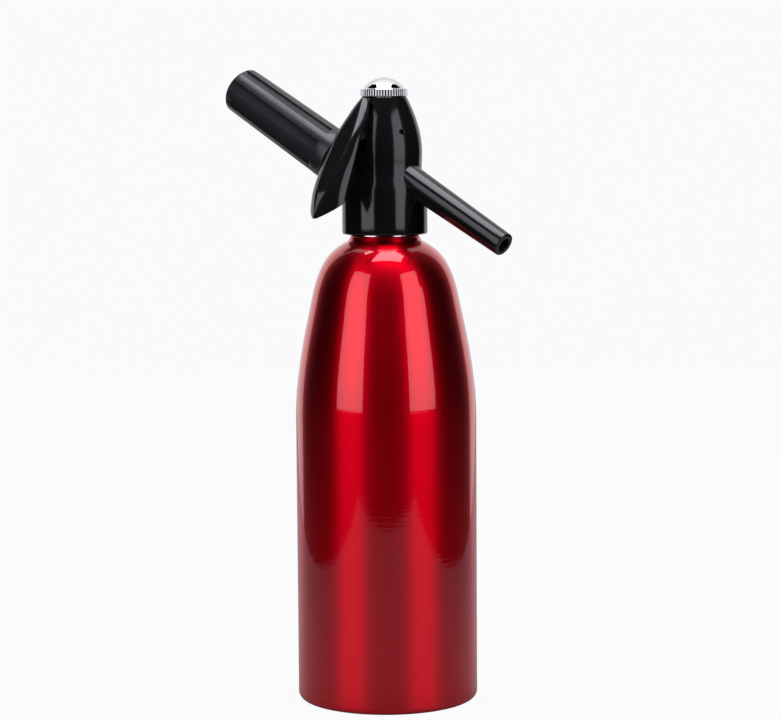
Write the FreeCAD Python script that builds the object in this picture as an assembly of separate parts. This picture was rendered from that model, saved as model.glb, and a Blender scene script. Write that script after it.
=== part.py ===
"""Soda siphon of about one litre: aluminium bottle, screwed head with lever, nozzle and charger holder.

Frame: millimetres, +Z up along the bottle's axis, origin at the centre of the foot.
The nozzle points along +X, the charger holder along -X and the lever along -Y.
"""
import FreeCAD, Part
import math
import os

V = FreeCAD.Vector

# Bottle
body_r = 45.0
body_wall = 1.6
straight_top_z = 140.0
shoulder_z = 203.4
shoulder_r = 36.2
neck_root_z = 230.3
neck_root_r = 18.1
neck_r = 16.4
neck_bore_r = 13.2
neck_top_z = 246.0
foot_corner_r = 3.5
foot_ring_w = 5.0
foot_dome_h = 5.0
wall_curve = 1.7          # how far the upper wall bulges from a straight line
shoulder_curve = 3.6      # the same at the round of the shoulder

# Thread ring in the head
thread_gap = 0.08
insert_wall = 1.52
insert_r = neck_r + thread_gap + insert_wall
insert_below = 0.6

# Siphon head, with its heights counted from the top of the neck
rim_drop = 12.5
skirt_rise = 10.0
waist_rise = 19.5
belly_rise = 27.0
crown_rise = 55.4
rim_z = neck_top_z - rim_drop
skirt_wall = 3.2
rim_r = insert_r + skirt_wall
skirt_top_z = neck_top_z + skirt_rise
waist_z = neck_top_z + waist_rise
waist_r = 18.25
belly_z = neck_top_z + belly_rise
belly_r = 18.75
crown_z = neck_top_z + crown_rise
crown_r = 11.15
crown_bulge = 1.35        # how far the upper outline bulges from a straight line
rim_round = 0.8

# Seals at the neck
flange_t = 1.0
gasket_t = 2.0
gasket_in_r = 12.6
thread_pitch = 3.0

# Riser tube and measuring tube
riser_r = 4.0
riser_bore_r = 3.0
riser_foot_z = 12.0
riser_rise = 11.0
riser_top_z = neck_top_z + riser_rise
measure_r = 7.2
measure_wall = 0.9
measure_len = 42.0
slip_gap = 0.05

# Valve in the head
gas_room_r = 9.5
gas_room_rise = 12.5
gas_room_top_z = neck_top_z + gas_room_rise
seat_r = 7.5
seat_bore_r = 3.0
seat_below = 4.5           # how far the seat reaches below the riser's top
seat_above = 5.0
seat_foot_z = riser_top_z - seat_below
seat_top_z = riser_top_z + seat_above
socket_floor = 0.3
seal_h = 2.0
seal_w = 1.3
piston_r = 6.0
piston_rise = 14.0
piston_top_z = seat_top_z + piston_rise
guide_r = 4.4
guide_room = 2.3           # room over the piston
guide_shelf_z = piston_top_z + guide_room
washer_t = 2.0
washer_r = 5.2
nose_r = 5.4
nose_h = 2.0
waist_rod_r = 2.6
waist_rod_h = 6.0
oring_h = 2.0
oring_depth = 1.4
window_below = 4.2
guide_len = 14.5
shoulder_top_z = piston_top_z + guide_len
spring_rod_r = 1.8
spring_rod_h = 7.0
run_gap = 0.06

# Valve spring
spring_wire_r = 0.45
spring_mean_r = 3.1
spring_turns = 5.0

# Top cap
cap_r = 11.5
cap_ring_h = 3.6
cap_dome_r = 10.2
cap_dome_h = 5.6
cap_top_round_r = 7.5
spigot_r = 7.0
spigot_h = 8.0
cap_roof_t = 1.2
cap_ribs = 50
rib_depth = 0.45

# Lever
pivot_y = -6.5
pivot_rise = 38.0
pivot_z = neck_top_z + pivot_rise
pin_r = 1.35
pin_recess = 1.3
pivot_boss_r = 2.75
tip_ball_r = 2.0
tip_gap = 0.05
arm_half_w = 2.2
arm_root_half_w = 3.1
slot_gap = 0.3
slot_top_drop = 3.6        # how far the slot ends below the crown
slot_below = 9.2          # how far the slot's mouth reaches below the pivot
arm_drop = 1.0            # room under and over the arm's eye for its swing
shank_half_h = 1.4
lever_side = 2.4          # depth of the lever's side wall behind its edge
lever_wall = 2.0
lever_bulge = 0.5
lever_tip_y = -53.6
lever_tip_drop = 39.7      # below the pivot
lever_tip_z = pivot_z - lever_tip_drop
lever_corner_y = -43.4
lever_corner_drop = 34.0
lever_corner_z = pivot_z - lever_corner_drop
# Stations down the lever: height over the pivot, keel distance, edge distance, half width
lever_shape = (
    (16.6, 16.9, 15.5, 1.0),
    (13.0, 20.0, 17.7, 3.0),
    (9.0, 23.2, 20.3, 4.7),
    (0.0, 30.1, 27.2, 7.2),
    (-7.5, 35.8, 31.3, 8.3),
    (-15.7, 42.1, 35.8, 9.3),
    (-24.0, 48.0, 40.1, 9.9),
    (-31.0, 52.5, 42.9, 10.0),
    (-43.0, 56.0, 46.0, 10.0),
)
lever_stations = tuple((pivot_z + rise, k, e, h) for rise, k, e, h in lever_shape)
lever_channel_half = 7.0  # the back is hollow where the half width is more than this

# Nozzle
nozzle_tilt = 28.1
nozzle_rise = 23.4
nozzle_z = neck_top_z + nozzle_rise    # height at which its axis crosses the head's axis
nozzle_root_r = 7.2
nozzle_tip_r = 5.85
nozzle_bore_r = 3.3
nozzle_socket_s = 17.0
nozzle_end_s = 83.2
nozzle_spigot_r = 5.0
nozzle_spigot_len = 4.5
nozzle_seal_t = 1.0
nozzle_chamfer = 0.5

# Charger holder and its seat in the head
holder_tilt = 28.4
holder_rise = 7.9
holder_z = neck_top_z + holder_rise
holder_root_s = 33.5
holder_root_r = 13.0
holder_tip_r = 12.1
charger_fit = 0.4          # room round the charger in its holder
charger_end_gap = 2.05     # room behind the charger's end
holder_end_t = 2.6
holder_edge_round = 2.6
collar_len = 8.0
grooves = 8
groove_w = 5.0
groove_depth = 1.0
groove_phase = 21.0        # degrees from the holder's upper side to the first groove
boss_r = 11.0
boss_gap = 0.4
nipple_r = 10.2
nipple_len = 10.5
nipple_root = 4.5
cup_fit = 0.5              # room round the charger's neck in the cup
cup_depth = 6.5
holder_pitch = 2.0
pin_len = 4.6
needle_r = 1.0
needle_bore_r = 0.4
needle_flange_r = 3.0
needle_flange_t = 1.5
pin_gasket_t = 0.6
gas_hole_r = 1.2
filter_t = 1.2
filter_r = 2.2

# Charger
charger_r = 9.2
charger_len = 65.0
charger_wall = 1.2
charger_neck_r = 4.4
charger_neck_len = 7.5
charger_shoulder_len = 7.0
charger_seat_gap = 0.05
pierced_r = 1.05


def out(name, shape):
    """Write one sub-part to its file."""
    solids = shape.Solids
    body = solids[0] if len(solids) == 1 else Part.makeCompound(solids)
    body.exportStep("parts/" + name + ".step")
    print(name, len(solids), round(body.Volume, 1), body.isValid())


def tube(r_out, r_in, z0, z1):
    """Ring or tube along Z."""
    ring = Part.makeCylinder(r_out, z1 - z0, V(0, 0, z0))
    return ring.cut(Part.makeCylinder(r_in, z1 - z0, V(0, 0, z0)))


def rod(r, z0, z1):
    """Plain cylinder along Z."""
    return Part.makeCylinder(r, z1 - z0, V(0, 0, z0))


def along(shape, side, tilt, z):
    """Turn a shape built along +Z so that it runs outwards from the head's axis.

    side +1 points to +X and down, side -1 points to -X and up.
    """
    turned = shape.copy()
    turned.rotate(V(0, 0, 0), V(0, 1, 0), 90 + tilt if side > 0 else -90 + tilt)
    turned.translate(V(0, 0, z))
    return turned


def bow(p, q, sag):
    """Arc from p to q in the XZ plane that bulges outwards by sag."""
    mid = (p + q) * 0.5
    d = q - p
    n = V(d.z, 0, -d.x)
    n.normalize()
    return Part.Arc(p, mid + n * sag, q).toShape()


def outline_solid(edges):
    """Revolve a closed outline of edges about Z."""
    return Part.Face(Part.Wire(edges)).revolve(V(0, 0, 0), V(0, 0, 1), 360)


def bottle_form(inset, foot_z, neck_end_r, top_z):
    """Filled form of the bottle, drawn in by an inset."""
    low = V(0, 0, foot_z)
    corner = foot_corner_r
    r = body_r - inset
    a = V(r - corner, 0, foot_z)
    b = V(r, 0, foot_z + corner)
    k = corner * (1 - math.sqrt(0.5))
    corner_mid = V(r - k, 0, foot_z + k)
    c = V(r, 0, straight_top_z)
    d = V(shoulder_r - inset, 0, shoulder_z - 0.25 * inset)
    e = V(neck_root_r - (neck_r - neck_end_r), 0, neck_root_z - 0.8 * inset)
    f = V(neck_end_r, 0, neck_root_z + 2.4 - 0.8 * inset)
    g = V(neck_end_r, 0, top_z)
    h = V(0, 0, top_z)
    line = lambda p, q: Part.makeLine(p, q)
    edges = [line(low, a), Part.Arc(a, corner_mid, b).toShape(), line(b, c)]
    edges += [bow(d, c, -wall_curve).copy(), bow(e, d, -shoulder_curve), bow(f, e, 0.3)]
    edges += [line(f, g), line(g, h), line(h, low)]
    return outline_solid(Part.__sortEdges__(edges))


def bottle():
    body = bottle_form(0.0, 0.0, neck_r, neck_top_z)
    inside = bottle_form(body_wall, foot_dome_h + body_wall, neck_bore_r, neck_top_z)
    mouth = rod(neck_bore_r, neck_top_z - 1.0, neck_top_z)
    dome_r = body_r - foot_corner_r - foot_ring_w
    ball_r = (dome_r ** 2 + foot_dome_h ** 2) / (2 * foot_dome_h)
    dome = Part.makeSphere(ball_r, V(0, 0, foot_dome_h - ball_r))
    return body.cut(inside).cut(mouth).cut(dome)


flange_top_z = neck_top_z + flange_t
ceiling_z = flange_top_z + gasket_t


def riser_tube():
    return tube(riser_r, riser_bore_r, riser_foot_z, riser_top_z)


def measuring_tube():
    """Short tube round the riser; its flange lies on the neck and sets the gas space."""
    inner = measure_r - measure_wall
    sleeve = tube(measure_r, inner, neck_top_z - measure_len, flange_top_z)
    flange = tube(neck_r - 0.2, inner, neck_top_z, flange_top_z)
    return sleeve.fuse(flange).removeSplitter()


def neck_gasket():
    return tube(neck_r - 0.2, gasket_in_r, flange_top_z, ceiling_z)


def riser_seal():
    """Ring round the riser in the groove of the valve seat."""
    z0 = seat_foot_z + 1.0
    return tube(riser_r + seal_w, riser_r, z0 + slip_gap, z0 + seal_h)


def neck_insert():
    """Threaded metal ring in the head; its rim shows as a bright line."""
    ring = tube(insert_r, neck_r + thread_gap, rim_z - insert_below, ceiling_z)
    return ring


def nozzle_tool(r, s0, s1):
    return along(rod(r, s0, s1), 1, nozzle_tilt, nozzle_z)


def holder_tool(r, s0, s1):
    return along(rod(r, s0, s1), -1, holder_tilt, holder_z)


nipple_s0 = holder_root_s - nipple_root
nipple_s1 = holder_root_s + nipple_len
cup_floor_s = nipple_s1 - cup_depth
gasket_s1 = cup_floor_s + pin_gasket_t
charger_s0 = gasket_s1 + charger_seat_gap
holder_tip_s = charger_s0 + charger_len + charger_end_gap + holder_end_t
holder_bore_r = charger_r + charger_fit
cup_r = charger_neck_r + cup_fit


def head_form():
    """Outer form of the head: skirt, waist and bullet-shaped crown."""
    line = lambda p, q: Part.makeLine(p, q)
    a = V(0, 0, rim_z)
    b = V(rim_r - rim_round, 0, rim_z)
    k = rim_round * (1 - math.sqrt(0.5))
    b_mid = V(rim_r - k, 0, rim_z + k)
    b2 = V(rim_r, 0, rim_z + rim_round)
    c = V(rim_r, 0, skirt_top_z)
    d = V(waist_r, 0, waist_z)
    e = V(belly_r, 0, belly_z)
    f = V(crown_r, 0, crown_z)
    g = V(0, 0, crown_z)
    edges = [line(a, b), Part.Arc(b, b_mid, b2).toShape(), line(b2, c)]
    edges += [bow(d, c, 0.35), bow(e, d, -0.08), bow(f, e, -crown_bulge)]
    edges += [line(f, g), line(g, a)]
    return outline_solid(Part.__sortEdges__(edges))


def lever_slot():
    """Slot in the head for the lever's arm, wide outside and narrow at the valve."""
    w = arm_root_half_w + slot_gap
    reach = belly_r + 3.0
    mouth_y = pivot_y - pivot_boss_r - 1.0
    low_z = pivot_z - slot_below
    top_z = crown_z - slot_top_drop
    outer = Part.makeBox(2 * w, reach + mouth_y, top_z - low_z, V(-w, -reach, low_z))
    n = arm_half_w + slot_gap
    z0 = pivot_z - pivot_boss_r - slot_gap - arm_drop
    z1 = pivot_z + pivot_boss_r + arm_drop
    inner = Part.makeBox(2 * n, -mouth_y + 0.1, z1 - z0, V(-n, mouth_y - 0.05, z0))
    return outer.fuse(inner)


def pin_shape(r, half_len):
    return Part.makeCylinder(r, 2 * half_len, V(-half_len, pivot_y, pivot_z), V(1, 0, 0))


def head_shell():
    body = head_form()
    boss = holder_tool(boss_r, 0, holder_root_s - boss_gap)
    body = body.fuse(boss)
    cuts = [rod(insert_r, rim_z - 1, ceiling_z)]
    cuts.append(rod(gas_room_r, ceiling_z - 1, gas_room_top_z))
    cuts.append(rod(seat_r, gas_room_top_z - 1, seat_top_z))
    cuts.append(rod(piston_r, seat_top_z - 1, guide_shelf_z))
    cuts.append(rod(guide_r, guide_shelf_z - 1, crown_z))
    cuts.append(rod(spigot_r, crown_z - spigot_h, crown_z + 1))
    cuts.append(lever_slot())
    cuts.append(pin_shape(pin_r, belly_r + 2))
    cuts.append(nozzle_tool(seat_bore_r, 0, nozzle_socket_s))
    floor_s = nozzle_socket_s - nozzle_spigot_len - nozzle_seal_t
    cuts.append(nozzle_tool(nozzle_spigot_r, floor_s, nozzle_socket_s))
    cuts.append(nozzle_tool(nozzle_root_r, nozzle_socket_s, nozzle_end_s))
    cuts.append(holder_tool(nipple_r, nipple_s0, holder_root_s))
    cuts.append(holder_tool(filter_r, nipple_s0 - filter_t, nipple_s0 + 0.1))
    cuts.append(holder_tool(gas_hole_r, gas_room_r - 2, nipple_s0))
    for tool in cuts:
        body = body.cut(tool)
    return body


def valve_seat():
    """Metal seat screwed in from below; the riser pushes into its socket."""
    socket_r = riser_r + slip_gap
    body = rod(seat_r, seat_foot_z, seat_top_z)
    body = body.cut(rod(seat_bore_r, seat_foot_z, seat_top_z))
    body = body.cut(rod(socket_r, seat_foot_z, riser_top_z + socket_floor))
    groove_z = seat_foot_z + 1.0
    groove = rod(riser_r + seal_w + slip_gap, groove_z, groove_z + seal_h + slip_gap)
    return body.cut(groove)


def seat_washer():
    return tube(washer_r, spring_rod_r * 0.6, seat_top_z, seat_top_z + washer_t)


def washer_screw():
    """Small screw that holds the washer to the valve rod."""
    head = rod(seat_bore_r - 0.7, seat_top_z - 1.0, seat_top_z)
    shank = rod(spring_rod_r * 0.6, seat_top_z, seat_top_z + washer_t + 2.0)
    return head.fuse(shank)


def valve_rod():
    """Plunger: nose with the washer, piston with its ring, window for the lever, spring guide."""
    z = seat_top_z + washer_t
    body = rod(nose_r, z, z + nose_h)
    body = body.fuse(rod(waist_rod_r, z, z + nose_h + waist_rod_h))
    piston_z0 = z + nose_h + waist_rod_h - 1.0
    piston = rod(piston_r - run_gap, piston_z0, piston_top_z)
    groove_z = (piston_z0 + piston_top_z - oring_h) * 0.5
    piston = piston.cut(tube(piston_r, piston_r - oring_depth, groove_z, groove_z + oring_h))
    body = body.fuse(piston)
    body = body.fuse(rod(guide_r - run_gap, piston_top_z, shoulder_top_z))
    body = body.fuse(rod(spring_rod_r, shoulder_top_z, shoulder_top_z + spring_rod_h))
    n = arm_half_w + slot_gap
    z0 = pivot_z - window_below
    z1 = pivot_z + tip_ball_r + tip_gap
    window = Part.makeBox(2 * n, guide_r + tip_ball_r + 0.5, z1 - z0, V(-n, -guide_r - 0.2, z0))
    body = body.cut(window)
    return body.cut(rod(spring_rod_r * 0.6, z, z + 2.0))


def rod_ring():
    """Rubber ring in the piston's groove."""
    z = seat_top_z + washer_t
    piston_z0 = z + nose_h + waist_rod_h - 1.0
    groove_z = (piston_z0 + piston_top_z - oring_h) * 0.5
    return tube(piston_r - 0.02, piston_r - oring_depth, groove_z, groove_z + oring_h)


spring_z0 = shoulder_top_z
spring_z1 = crown_z + cap_ring_h - cap_roof_t


def valve_spring():
    """Coiled spring between the rod's shoulder and the cap's roof."""
    base = spring_z0 + spring_wire_r + 0.02
    height = spring_z1 - spring_z0 - 2 * spring_wire_r - 0.04
    helix = Part.makeHelix(height / spring_turns, height, spring_mean_r)
    helix.translate(V(0, 0, base))
    ring = Part.makeCircle(spring_wire_r, V(spring_mean_r, 0, base), V(0, 1, 0))
    return Part.Wire(helix).makePipeShell([Part.Wire([ring])], True, True)


def top_cap():
    """Chromed screw cap: ribbed ring, low dome, and a hollow spigot for the spring."""
    z0 = crown_z
    z1 = z0 + cap_ring_h
    top = z1 + cap_dome_h
    line = lambda p, q: Part.makeLine(p, q)
    a = V(0, 0, z0)
    b = V(cap_dome_r, 0, z0)
    d = V(cap_dome_r, 0, z1)
    e = V(0, 0, top)
    mid = V(cap_top_round_r, 0, z1 + cap_dome_h * 0.62)
    edges = [line(a, b), line(b, d), Part.Arc(d, mid, e).toShape(), line(e, a)]
    body = outline_solid(edges).fuse(ribbed_ring(z0))
    body = body.fuse(rod(spigot_r, z0 - spigot_h, z0 + 1))
    return body.cut(rod(guide_r, z0 - spigot_h - 1, z1 - cap_roof_t))


def ribbed_ring(z0):
    """Ring with fine upright ribs, drawn as one toothed outline."""
    points = []
    step = 2 * math.pi / cap_ribs
    for i in range(cap_ribs):
        for share, r in ((-0.30, cap_r), (0.0, cap_r), (0.22, cap_r - rib_depth), (0.48, cap_r - rib_depth)):
            t = (i + share) * step
            points.append(V(r * math.cos(t), r * math.sin(t), z0))
    return Part.Face(Part.makePolygon(points + points[:1])).extrude(V(0, 0, cap_ring_h))


def section(z, keel, edge, half, side, bulge):
    """Closed level outline of the lever: two bowed flanks, two side walls and a flat back."""
    a = V(-half, -edge, z)
    k = V(0, -keel, z)
    b = V(half, -edge, z)
    ma = (a + k) * 0.5 + V(-bulge * 0.6, -bulge * 0.6, 0)
    mb = (b + k) * 0.5 + V(bulge * 0.6, -bulge * 0.6, 0)
    b2 = V(half * 0.9, -edge + side, z)
    a2 = V(-half * 0.9, -edge + side, z)
    edges = [Part.Arc(a, ma, k).toShape(), Part.Arc(k, mb, b).toShape()]
    edges += [Part.makeLine(b, b2), Part.makeLine(b2, a2), Part.makeLine(a2, a)]
    return Part.Wire(edges)


def lever_end_tool(lift):
    """Block below the slanted end of the lever, raised by lift."""
    dy = lever_corner_y - lever_tip_y
    dz = lever_corner_z - lever_tip_z
    n = math.hypot(dy, dz)
    w = -4 * lever_tip_y
    box = Part.makeBox(w, w, w, V(-w / 2, -w / 2, -w + lift))
    box.rotate(V(0, 0, 0), V(1, 0, 0), math.degrees(math.atan2(dz / n, dy / n)))
    box.translate(V(0, lever_tip_y, lever_tip_z))
    return box


def lever_arm():
    """Arm through the slot: pivot eye, rounded lifting tip and a web to the handle."""
    tip = Part.makeCylinder(tip_ball_r, 2 * arm_half_w, V(-arm_half_w, 0, pivot_z), V(1, 0, 0))
    eye = Part.makeCylinder(pivot_boss_r, 2 * arm_half_w, V(-arm_half_w, pivot_y, pivot_z), V(1, 0, 0))
    shank = Part.makeBox(2 * arm_half_w, -pivot_y, 2 * shank_half_h, V(-arm_half_w, pivot_y, pivot_z - shank_half_h))
    root_y = pivot_y - pivot_boss_r - 1.8
    web_low = pivot_z - pivot_boss_r
    web_top = pivot_z + pivot_boss_r
    neck_pts = [V(0, pivot_y, web_low), V(0, root_y - 1, web_low), V(0, root_y - 1, web_top), V(0, pivot_y, web_top)]
    neck = Part.Face(Part.makePolygon(neck_pts + neck_pts[:1])).extrude(V(2 * arm_half_w, 0, 0))
    neck.translate(V(-arm_half_w, 0, 0))
    y1 = -lever_stations[2][2] + 0.6
    y2 = -lever_stations[3][2] + 1.2
    web_pts = [V(0, root_y, web_low), V(0, root_y, web_top)]
    web_pts += [V(0, -lever_stations[1][2] + 0.4, lever_stations[1][0] - 2.0), V(0, y1, lever_stations[2][0] - 1.5)]
    web_pts += [V(0, y2, lever_stations[3][0]), V(0, y2, lever_stations[3][0] - 4.0)]
    web = Part.Face(Part.makePolygon(web_pts + web_pts[:1])).extrude(V(2 * arm_root_half_w, 0, 0))
    web.translate(V(-arm_root_half_w, 0, 0))
    return tip.fuse(eye).fuse(shank).fuse(neck).fuse(web)


def lever():
    handle = Part.makeLoft([section(z, k, e, h, lever_side, lever_bulge) for z, k, e, h in lever_stations], True)
    hollow = []
    for z, k, e, h in lever_stations:
        if h < lever_channel_half:
            continue
        rise = 0.0 if hollow else lever_wall * 0.75
        p = [V(-h + lever_wall, -e + lever_side + 2, z - rise), V(-h + lever_wall, -e - 0.3, z - rise)]
        p += [V(0, -k + 1.35 * lever_wall, z - rise)]
        p += [V(h - lever_wall, -e - 0.3, z - rise), V(h - lever_wall, -e + lever_side + 2, z - rise)]
        hollow.append(Part.makePolygon(p + p[:1]))
    channel = Part.makeLoft(hollow, True, True).cut(lever_end_tool(lever_wall))
    handle = handle.cut(lever_end_tool(0.0)).cut(channel)
    body = handle.fuse(lever_arm())
    return body.cut(pin_shape(pin_r + slip_gap, arm_half_w + 1))


def pivot_pin():
    """Pin through the head and the lever's eye; its ends lie just inside the two holes."""
    half = math.sqrt(belly_r ** 2 - pivot_y ** 2) - pin_recess - 1.6
    return pin_shape(pin_r, half)


def nozzle():
    s0 = nozzle_socket_s
    length = nozzle_end_s - s0
    cone = Part.makeCone(nozzle_root_r, nozzle_tip_r, length, V(0, 0, s0))
    rim = [e for e in cone.Edges if abs(e.BoundBox.ZMin - nozzle_end_s) < 1e-6 and e.Closed]
    cone = cone.makeChamfer(nozzle_chamfer, rim[:1])
    body = cone.fuse(rod(nozzle_spigot_r, s0 - nozzle_spigot_len, s0 + 0.5))
    body = body.cut(rod(nozzle_bore_r, 0, nozzle_end_s + 1))
    return along(body, 1, nozzle_tilt, nozzle_z)


def nozzle_seal():
    s1 = nozzle_socket_s - nozzle_spigot_len
    return along(tube(nozzle_spigot_r, nozzle_bore_r, s1 - nozzle_seal_t, s1), 1, nozzle_tilt, nozzle_z)


def charger_nipple():
    """Threaded metal stub that the charger holder screws on to, with a cup for the charger's neck."""
    body = rod(nipple_r, nipple_s0, nipple_s1)
    body = body.cut(rod(cup_r, cup_floor_s, nipple_s1))
    body = body.cut(rod(needle_flange_r, cup_floor_s - needle_flange_t, cup_floor_s))
    body = body.cut(rod(gas_hole_r, nipple_s0, cup_floor_s))
    return along(body, -1, holder_tilt, holder_z)


def piercing_pin():
    """Hollow needle with a flange under the gasket."""
    s0 = cup_floor_s - needle_flange_t
    body = rod(needle_flange_r, s0, cup_floor_s)
    tip_s = cup_floor_s + pin_len
    body = body.fuse(rod(needle_r, s0, tip_s - 1.6))
    body = body.fuse(Part.makeCone(needle_r, needle_bore_r + 0.15, 1.6, V(0, 0, tip_s - 1.6)))
    body = body.cut(rod(needle_bore_r, s0 - 1, tip_s + 1))
    return along(body, -1, holder_tilt, holder_z)


def pin_gasket():
    return along(tube(cup_r, needle_r, cup_floor_s, gasket_s1), -1, holder_tilt, holder_z)


def inlet_filter():
    return along(rod(filter_r, nipple_s0 - filter_t, nipple_s0), -1, holder_tilt, holder_z)


def charger():
    """Steel gas charger, hollow, with its neck pierced."""
    s = charger_s0
    neck_s = s + charger_neck_len
    body_s = neck_s + charger_shoulder_len
    end_s = s + charger_len
    w = charger_wall

    def form(d, front, back):
        r = charger_r - d
        n = charger_neck_r - d
        pts = [V(0, 0, front), V(n, 0, front), V(n, 0, neck_s + d * 0.4)]
        edges = [Part.makeLine(pts[0], pts[1]), Part.makeLine(pts[1], pts[2])]
        q = V(r, 0, body_s + d * 0.4)
        edges.append(bow(q, pts[2], 0.9))
        cyl_end = V(r, 0, end_s - charger_r)
        edges.append(Part.makeLine(q, cyl_end))
        mid = V(r * math.sqrt(0.5), 0, end_s - charger_r + (back - end_s + charger_r) * math.sqrt(0.5))
        edges.append(Part.Arc(cyl_end, mid, V(0, 0, back)).toShape())
        edges.append(Part.makeLine(V(0, 0, back), pts[0]))
        return outline_solid(edges)

    body = form(0.0, s, end_s).cut(form(w, s + w, end_s - w))
    body = body.cut(rod(pierced_r, s - 1, s + 2 * w))
    return along(body, -1, holder_tilt, holder_z)


def holder_grooves():
    """Long grooves round the holder, open at its closed end and square at the collar."""
    s0 = holder_root_s + collar_len
    tools = []
    for i in range(grooves):
        box = Part.makeBox(holder_root_r, groove_w, holder_tip_s - s0 + 2, V(0, -groove_w / 2, s0))
        slope = math.degrees(math.atan((holder_root_r - holder_tip_r) / (holder_tip_s - holder_root_s)))
        box.rotate(V(0, 0, holder_root_s), V(0, 1, 0), -slope)
        box.translate(V(holder_root_r - groove_depth, 0, 0))
        box.rotate(V(0, 0, 0), V(0, 0, 1), 360.0 * i / grooves)
        tools.append(box)
    return tools


def charger_holder():
    s0, s1 = holder_root_s, holder_tip_s
    cone = Part.makeCone(holder_root_r, holder_tip_r, s1 - s0, V(0, 0, s0))
    rim = [e for e in cone.Edges if abs(e.BoundBox.ZMin - s1) < 1e-6 and e.Closed]
    body = cone.makeFillet(holder_edge_round, rim[:1])
    for tool in holder_grooves():
        body = body.cut(tool)
    body = body.cut(rod(nipple_r + run_gap, s0 - 1, nipple_s1 + 1.0))
    body = body.cut(rod(holder_bore_r, s0, s1 - holder_end_t - charger_r * 0.5))
    end = Part.makeSphere(holder_bore_r, V(0, 0, s1 - holder_end_t - holder_bore_r + 0.0))
    body = body.cut(end)
    body.rotate(V(0, 0, 0), V(0, 0, 1), groove_phase)
    return along(body, -1, holder_tilt, holder_z)


def main():
    os.makedirs("parts", exist_ok=True)
    pieces = {
        "bottle": bottle, "riser_tube": riser_tube, "measuring_tube": measuring_tube,
        "neck_gasket": neck_gasket, "riser_seal": riser_seal, "neck_insert": neck_insert,
        "head_shell": head_shell, "valve_seat": valve_seat, "seat_washer": seat_washer,
        "washer_screw": washer_screw, "valve_rod": valve_rod, "rod_ring": rod_ring,
        "valve_spring": valve_spring, "top_cap": top_cap, "lever": lever,
        "pivot_pin": pivot_pin, "nozzle": nozzle, "nozzle_seal": nozzle_seal,
        "charger_nipple": charger_nipple, "piercing_pin": piercing_pin,
        "pin_gasket": pin_gasket, "inlet_filter": inlet_filter, "charger": charger,
        "charger_holder": charger_holder,
    }
    for name, make in pieces.items():
        out(name, make())


main()
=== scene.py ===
# %% [markdown]
# # A soda siphon, dressed around its CAD frame
#
# The bottle is drawn aluminium, anodised red under a clear lacquer. The head and lever are moulded in
# gloss black, the nozzle and the charger holder in softer blacks, and a small chromed cap closes the top.
# The frame gives the bodies, the joints and the box that everything has to fit. The scene rebuilds what
# shows from outside, with smoother outlines in the same sizes, and finishes every piece.

# %% Load the frame
import math

import bmesh
import bpy
from mathutils import Matrix, Vector


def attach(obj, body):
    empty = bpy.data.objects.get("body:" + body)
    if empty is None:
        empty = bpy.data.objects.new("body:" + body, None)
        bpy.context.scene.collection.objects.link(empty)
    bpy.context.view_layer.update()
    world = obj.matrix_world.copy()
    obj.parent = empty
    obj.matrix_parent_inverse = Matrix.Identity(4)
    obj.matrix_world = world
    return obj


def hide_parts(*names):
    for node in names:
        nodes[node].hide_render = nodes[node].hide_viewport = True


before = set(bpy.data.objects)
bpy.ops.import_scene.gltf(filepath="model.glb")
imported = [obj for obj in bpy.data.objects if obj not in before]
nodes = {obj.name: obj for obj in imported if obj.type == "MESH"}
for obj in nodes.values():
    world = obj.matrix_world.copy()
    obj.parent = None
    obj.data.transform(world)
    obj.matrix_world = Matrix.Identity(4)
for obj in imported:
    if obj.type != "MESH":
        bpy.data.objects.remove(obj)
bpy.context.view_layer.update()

# %% [markdown]
# ## Units and colours
#
# All sizes below are millimetres, as on a drawing, and one factor turns them to Blender's metres.
# Colours are the hex values that one would read off a swatch. Blender mixes light in linear values,
# so one function converts them.

# %% Millimetres and swatches
MM = 0.001


def swatch(code):
    """Linear colour of an sRGB hex value."""
    parts = [int(code[i:i + 2], 16) / 255 for i in (0, 2, 4)]
    return tuple(p / 12.92 if p <= 0.04045 else ((p + 0.055) / 1.055) ** 2.4 for p in parts) + (1.0,)


print("mid grey in linear:", round(swatch("808080")[0], 3))

# %% [markdown]
# ## A helper for shader nodes
#
# Materials are node trees. Each node needs a type, some settings and some inputs, and an input is either
# a plain value or another node's output. One small function covers all of that.

# %% Add one node
def add(tree, kind, settings=None, **inputs):
    """Add a node, set its properties, then its inputs: a socket is linked, anything else is a value."""
    made = tree.nodes.new(kind)
    for name, value in (settings or {}).items():
        setattr(made, name, value)
    for name, value in inputs.items():
        key = int(name[1:]) if name[0] == "i" and name[1:].isdigit() else name.replace("_", " ")
        if isinstance(value, bpy.types.NodeSocket):
            tree.links.new(value, made.inputs[key])
        else:
            made.inputs[key].default_value = value
    return made


def new_material(name):
    """Empty material with its output, ready for a surface."""
    material = bpy.data.materials.new(name)
    material.use_nodes = True
    tree = material.node_tree
    tree.nodes.clear()
    out = tree.nodes.new("ShaderNodeOutputMaterial")
    return material, tree, out


print("helpers ready")

# %% [markdown]
# ## Red anodised aluminium under clear lacquer
#
# Anodising grows a porous oxide skin that holds a dye, so the metal itself shines red. The blank was turned
# before it was dyed: the fine rings round it stretch each highlight up and down the bottle, which is
# what the anisotropic setting does. Over it lies a clear lacquer, which adds a second, sharp and
# uncoloured reflection. One could mix two shaders, but the Principled shader has both layers: a rough metal
# and a coat. The lacquer is not perfectly flat: shallow ripples, about 1 mm apart up the wall and 20 mm long
# round it, break up the edge of the table's reflection.

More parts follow.
